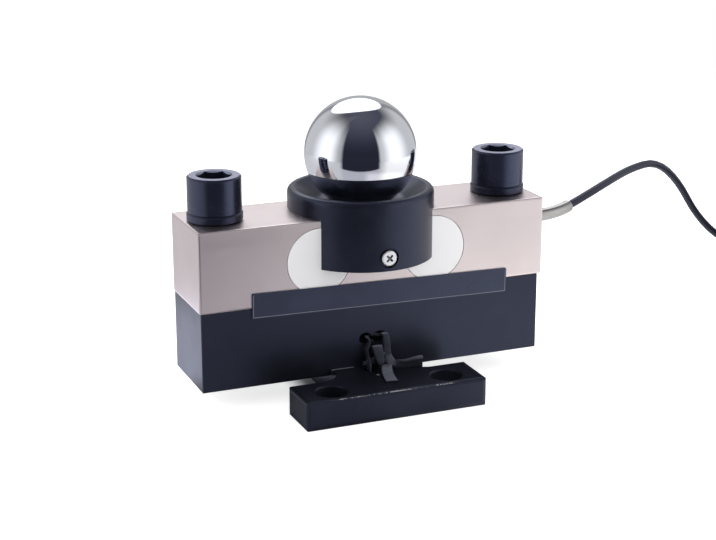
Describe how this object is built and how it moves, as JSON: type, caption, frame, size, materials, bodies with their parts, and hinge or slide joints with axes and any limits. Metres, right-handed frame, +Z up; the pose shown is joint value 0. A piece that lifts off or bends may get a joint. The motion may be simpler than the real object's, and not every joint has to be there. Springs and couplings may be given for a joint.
{
  "type": "digital load cell",
  "caption": "Bridge type shear beam load cell: a plated steel beam bolted on a black base, a load ball in a collar on top, a T-shaped locating plate in front and a signal cable at one end.",
  "frame": {"origin": "on the floor, at the underside of the locating plate, below the middle of the beam", "axes": "+X along the beam to its cable end, +Y to the rear, +Z up"},
  "size_m": [0.5497, 0.194, 0.165],
  "materials": {
    "plated_steel": "ground and nickel plated, satin",
    "cover_steel": "smooth, bright",
    "black_steel": "black paint, semi-gloss",
    "black_oxide": "black oxide, oiled",
    "polished_steel": "polished",
    "hard_steel": "hardened, ground",
    "collar_plastic": "moulded, semi-gloss",
    "zinc_steel": "zinc plated",
    "nameplate": "black, satin",
    "gauge_film": "polyimide film",
    "board": "solder mask",
    "chip": "moulded",
    "terminal": "moulded",
    "spacer": "turned",
    "inner_wire": "fluoropolymer sleeve",
    "gland": "nickel plated brass",
    "seal": "soft",
    "sleeve": "satin",
    "cable": "smooth jacket",
    "strap": "woven",
    "lead_red": "smooth",
    "lead_black": "smooth",
    "lead_green": "smooth",
    "lead_white": "smooth"
  },
  "bodies": {
    "root": {"ball": "polished_steel", "ball_collar": "collar_plastic", "ball_seat": "hard_steel", "base_block": "black_steel", "beam": "plated_steel", "board_spacers": "spacer", "bolt_left": "black_oxide", "bolt_right": "black_oxide", "cable": "cable", "cable_coil": "cable", "cable_end_sleeve": "chip", "cable_gland": "gland", "cable_sleeve": "sleeve", "cable_tail": "cable", "circuit_board": "board", "coil_ties": "chip", "collar_screw_front": "zinc_steel", "collar_screw_rear": "zinc_steel", "converter_chip": "chip", "gland_nut": "gland", "gland_seal": "seal", "lead_black": "lead_black", "lead_green": "lead_green", "lead_red": "lead_red", "lead_white": "lead_white", "link_wires": "inner_wire", "locating_plate": "black_steel", "nameplate": "nameplate", "pocket_cover_front_left": "cover_steel", "pocket_cover_front_right": "cover_steel", "pocket_cover_rear_left": "cover_steel", "pocket_cover_rear_right": "cover_steel", "signal_wires": "inner_wire", "spring_washer_left": "black_oxide", "spring_washer_right": "black_oxide", "strain_gauge_front_left": "gauge_film", "strain_gauge_front_right": "gauge_film", "strain_gauge_rear_left": "gauge_film", "strain_gauge_rear_right": "gauge_film", "terminal_strip": "terminal", "tie_strap": "strap", "web_wires": "inner_wire"}
  },
  "joints": []
}
